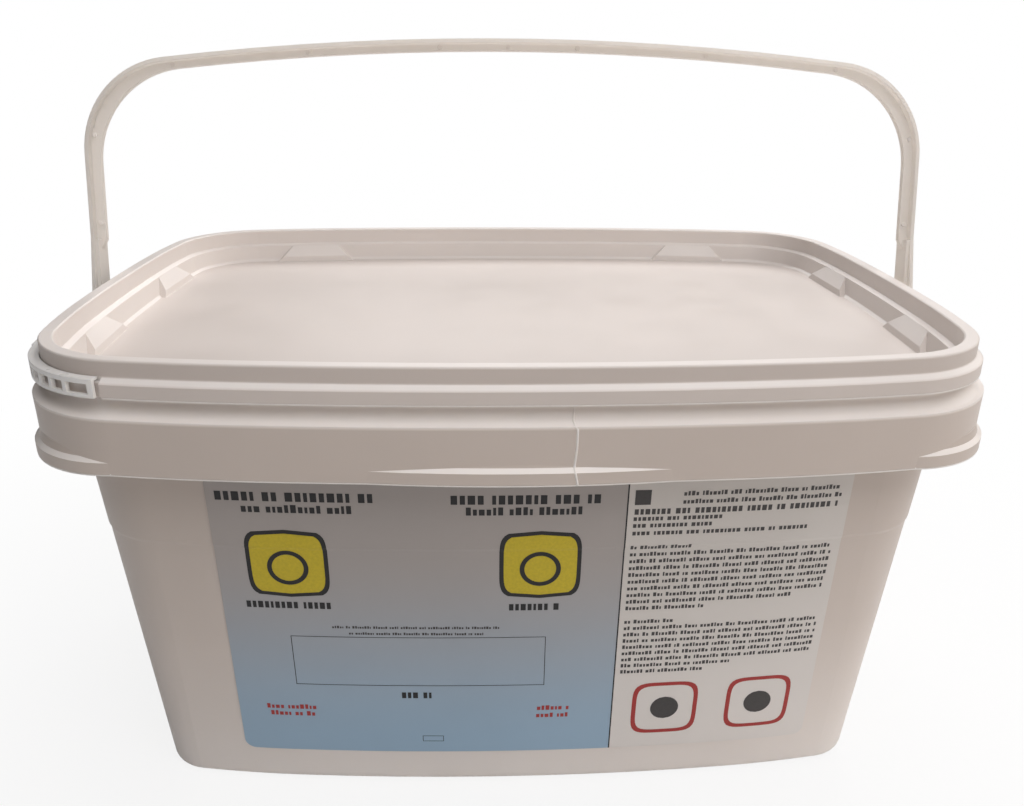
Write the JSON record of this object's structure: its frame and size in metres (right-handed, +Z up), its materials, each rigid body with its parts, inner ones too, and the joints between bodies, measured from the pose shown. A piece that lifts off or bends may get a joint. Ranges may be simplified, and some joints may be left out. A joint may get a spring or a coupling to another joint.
{
  "type": "specimen transport box",
  "caption": "Rectangular moulded pail with a snap lid, stacking recess, swinging carrying handle and tear-off ladder strip, for carrying packed specimens.",
  "frame": {"origin": "middle of the footprint, on the surface the box stands on", "axes": "+X along the long side, -Y towards the labelled front, +Z up"},
  "size_m": [0.411, 0.2928, 0.3273],
  "materials": {
    "tub": "satin",
    "front_label": "satin",
    "lid": "satin",
    "lid_gasket": "matte",
    "ladder_strip": "satin",
    "handle": "satin"
  },
  "bodies": {
    "tub": {"tub": "tub", "front_label": "front_label"},
    "lid": {"lid": "lid", "lid_gasket": "lid_gasket"},
    "strip": {"ladder_strip": "ladder_strip"},
    "handle": {"handle": "handle"}
  },
  "joints": [
    {"name": "handle_hinge", "type": "hinge", "parent": "tub", "child": "handle", "pos_m": [0, 0, 0.1832], "axis": [1, 0, 0], "range_deg": [-62.5, 86.5]},
    {"name": "lid_lift", "type": "slide", "parent": "tub", "child": "lid", "axis": [0, 0, 1], "range_m": [0, 0.045]},
    {"name": "strip_release", "type": "slide", "parent": "lid", "child": "strip", "axis": [-0.7071, -0.7071, 0], "range_m": [0, 0.03]}
  ]
}
